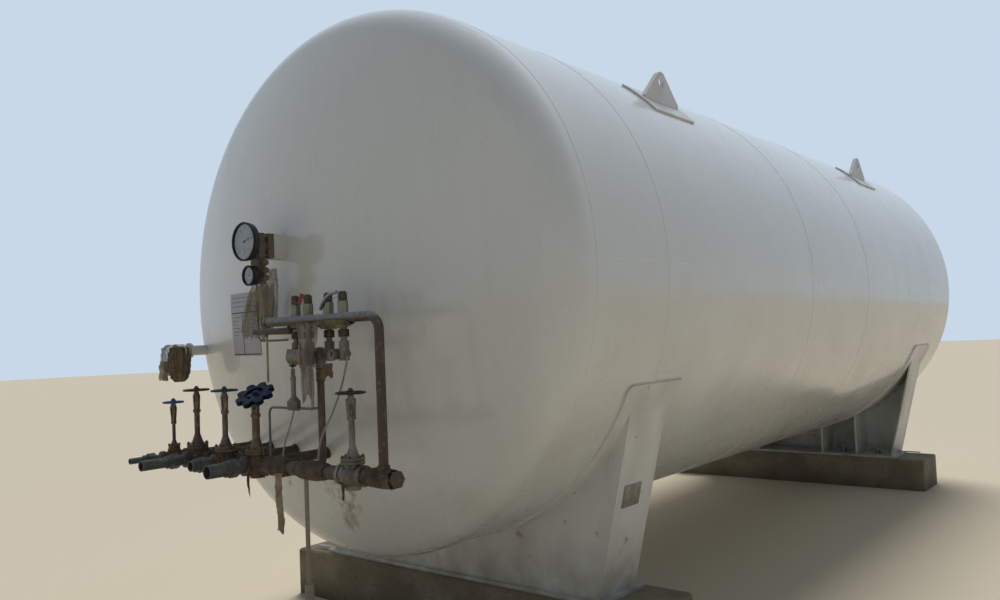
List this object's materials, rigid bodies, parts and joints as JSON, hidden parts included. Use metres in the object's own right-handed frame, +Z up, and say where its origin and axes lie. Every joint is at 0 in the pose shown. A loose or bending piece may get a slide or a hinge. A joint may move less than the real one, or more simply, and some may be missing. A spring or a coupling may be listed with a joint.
{
  "type": "horizontal pressure tank",
  "caption": "Horizontal insulated pressure tank with dished heads on two saddles and plinths, with a front valve station, relief valves, gauges and lifting lugs.",
  "frame": {"origin": "on the ground at the centre of the whole tank's box, pipework included", "axes": "+X back along the tank from the valve end, +Y to the far side, +Z up"},
  "size_m": [8.39, 2.9026, 3.4515],
  "materials": {
    "jacket_paint": "gloss",
    "saddle_paint": "semi-gloss",
    "concrete": "rough",
    "stained_pipe": "rusty",
    "stained_valve": "rusty",
    "bare_pipe": "satin",
    "brass": "dull",
    "blue_paint": "semi-gloss",
    "dark_paint": "semi-gloss",
    "small_tube": "satin",
    "gauge_case": "satin"
  },
  "bodies": {
    "tank": {"front_head": "jacket_paint", "rear_head": "jacket_paint", "first_course": "jacket_paint", "second_course": "jacket_paint", "third_course": "jacket_paint", "fourth_course": "jacket_paint", "front_wear_pad": "saddle_paint", "rear_wear_pad": "saddle_paint", "front_saddle_web": "saddle_paint", "rear_saddle_web": "saddle_paint", "front_saddle_end_plates": "saddle_paint", "rear_saddle_end_plates": "saddle_paint", "front_saddle_ribs": "saddle_paint", "rear_saddle_ribs": "saddle_paint", "front_base_plate": "saddle_paint", "rear_base_plate": "saddle_paint", "lug_pads": "saddle_paint", "lifting_lugs": "saddle_paint", "gauge_bracket": "saddle_paint", "fill_nozzle": "saddle_paint", "front_plinth": "concrete", "rear_plinth": "concrete", "head_lines": "stained_pipe", "lower_line": "stained_pipe", "riser": "stained_pipe", "relief_header": "stained_pipe", "vent_line": "stained_pipe", "level_valve": "stained_valve", "bottom_fill_valve": "stained_valve", "top_fill_valve": "stained_valve", "outlet_valve": "stained_valve", "bypass_valve": "stained_valve", "sampling_valve": "stained_valve", "relief_caps": "stained_valve", "outlet_lines": "bare_pipe", "changeover_bar": "bare_pipe", "relief_valves": "bare_pipe", "pipe_prop": "bare_pipe", "relief_unions": "brass", "pressure_gauge": "dark_paint", "sampling_tube": "small_tube", "gauge_tubes": "small_tube", "gauge_block": "small_tube", "instrument_body": "small_tube", "level_gauge": "gauge_case"},
    "level_handwheel": {"level_handwheel": "blue_paint"},
    "bottom_fill_handwheel": {"bottom_fill_handwheel": "dark_paint"},
    "top_fill_handwheel": {"top_fill_handwheel": "blue_paint"},
    "outlet_handwheel": {"outlet_handwheel": "blue_paint"},
    "bypass_handwheel": {"bypass_handwheel": "dark_paint"},
    "sampling_handle": {"sampling_handle": "dark_paint"}
  },
  "joints": [
    {"name": "level_stem", "type": "hinge", "parent": "tank", "child": "level_handwheel", "pos_m": [-3.895, 0.69, 1.135], "axis": [0, 0, 1], "range_deg": [0, 1260]},
    {"name": "bottom_fill_stem", "type": "hinge", "parent": "tank", "child": "bottom_fill_handwheel", "pos_m": [-3.895, 0.465, 1.135], "axis": [0, 0, 1], "range_deg": [0, 1260]},
    {"name": "top_fill_stem", "type": "hinge", "parent": "tank", "child": "top_fill_handwheel", "pos_m": [-3.895, 0.215, 1.135], "axis": [0, 0, 1], "range_deg": [0, 1260]},
    {"name": "outlet_stem", "type": "hinge", "parent": "tank", "child": "outlet_handwheel", "pos_m": [-3.895, -0.04, 1.135], "axis": [0, 0, 1], "range_deg": [0, 1260]},
    {"name": "bypass_stem", "type": "hinge", "parent": "tank", "child": "bypass_handwheel", "pos_m": [-3.895, -0.72, 1.135], "axis": [0, 0, 1], "range_deg": [0, 1260]},
    {"name": "sampling_stem", "type": "hinge", "parent": "tank", "child": "sampling_handle", "pos_m": [-3.895, -0.334, 1.403], "axis": [0, 0, 1], "range_deg": [0, 810]}
  ]
}
